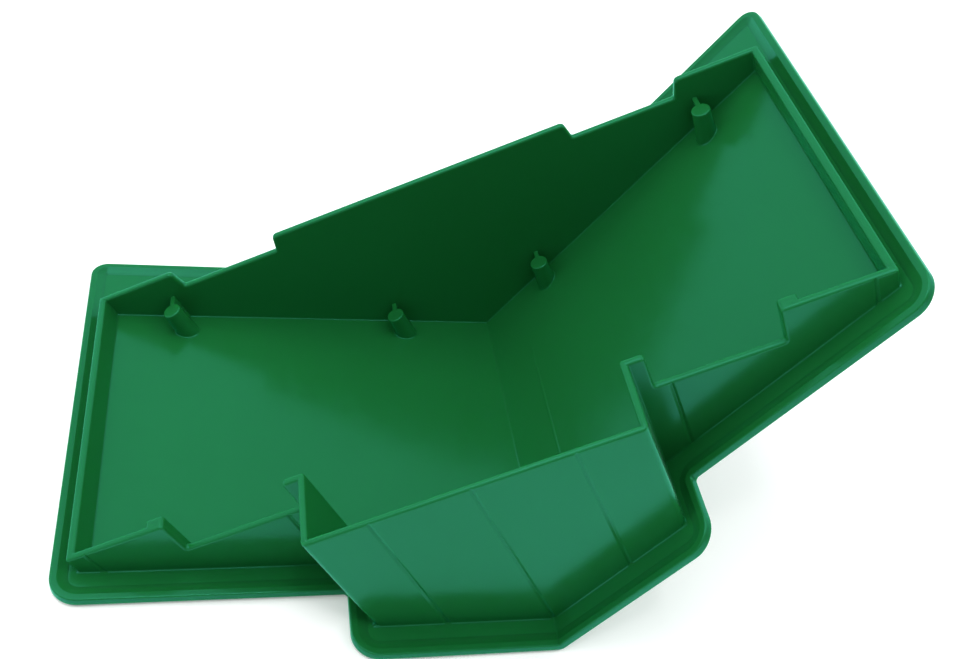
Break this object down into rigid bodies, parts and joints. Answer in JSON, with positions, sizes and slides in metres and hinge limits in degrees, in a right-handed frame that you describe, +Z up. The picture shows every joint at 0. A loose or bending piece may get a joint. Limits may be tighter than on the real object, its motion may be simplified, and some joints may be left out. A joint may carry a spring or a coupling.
{
  "type": "toy cabin roof",
  "caption": "Moulded plastic roof for a toy log cabin, lying open side up on one slope: gabled, planked walls, a front bay, notched edges, shingles outside and webbed posts inside.",
  "frame": {"origin": "centre of the base of the bounding box, on the floor that the left slope lies on", "axes": "+X from the lower eave to the raised one, +Y along the ridge from the bay to the back gable, +Z up"},
  "size_m": [0.184, 0.1364, 0.1082],
  "materials": {
    "green_plastic": "gloss"
  },
  "bodies": {
    "root": {"left_slope": "green_plastic", "right_slope": "green_plastic", "left_rim": "green_plastic", "right_rim": "green_plastic", "left_shingles": "green_plastic", "right_shingles": "green_plastic", "back_gable": "green_plastic", "front_gable_left": "green_plastic", "front_gable_right": "green_plastic", "left_eave_wall": "green_plastic", "right_eave_wall": "green_plastic", "bay_front_wall": "green_plastic", "bay_left_wall": "green_plastic", "bay_right_wall": "green_plastic", "left_notch_rib": "green_plastic", "right_notch_rib": "green_plastic", "left_outer_post": "green_plastic", "left_inner_post": "green_plastic", "right_inner_post": "green_plastic", "right_outer_post": "green_plastic", "left_outer_web": "green_plastic", "left_inner_web": "green_plastic", "right_inner_web": "green_plastic", "right_outer_web": "green_plastic"}
  },
  "joints": []
}
